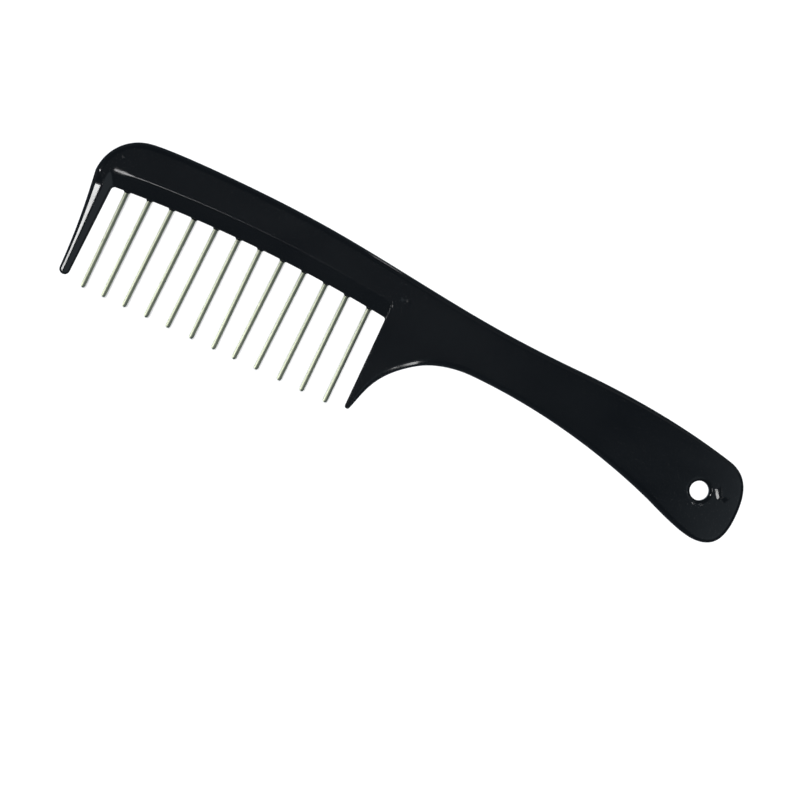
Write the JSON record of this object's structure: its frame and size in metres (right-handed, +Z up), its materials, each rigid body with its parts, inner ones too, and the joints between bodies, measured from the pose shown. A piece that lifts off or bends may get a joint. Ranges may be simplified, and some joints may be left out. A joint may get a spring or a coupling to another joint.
{
  "type": "wide tooth comb",
  "caption": "Handled wide-tooth comb: a one-piece moulded plastic frame with guard teeth and a hang hole, and a row of separate steel pins as teeth.",
  "frame": {"origin": "middle of the bottom of the comb's box as it lies flat on its face", "axes": "+X along the comb from the head to the end of the handle, +Y away from the tips of the teeth, +Z up through the thickness"},
  "size_m": [0.224, 0.0502, 0.005],
  "materials": {
    "frame_plastic": "polished black, slightly bluish",
    "pin_steel": "bright drawn steel, slightly warm"
  },
  "bodies": {
    "root": {"comb_frame": "frame_plastic", "pin_01": "pin_steel", "pin_02": "pin_steel", "pin_03": "pin_steel", "pin_04": "pin_steel", "pin_05": "pin_steel", "pin_06": "pin_steel", "pin_07": "pin_steel", "pin_08": "pin_steel", "pin_09": "pin_steel", "pin_10": "pin_steel", "pin_11": "pin_steel", "pin_12": "pin_steel"}
  },
  "joints": []
}
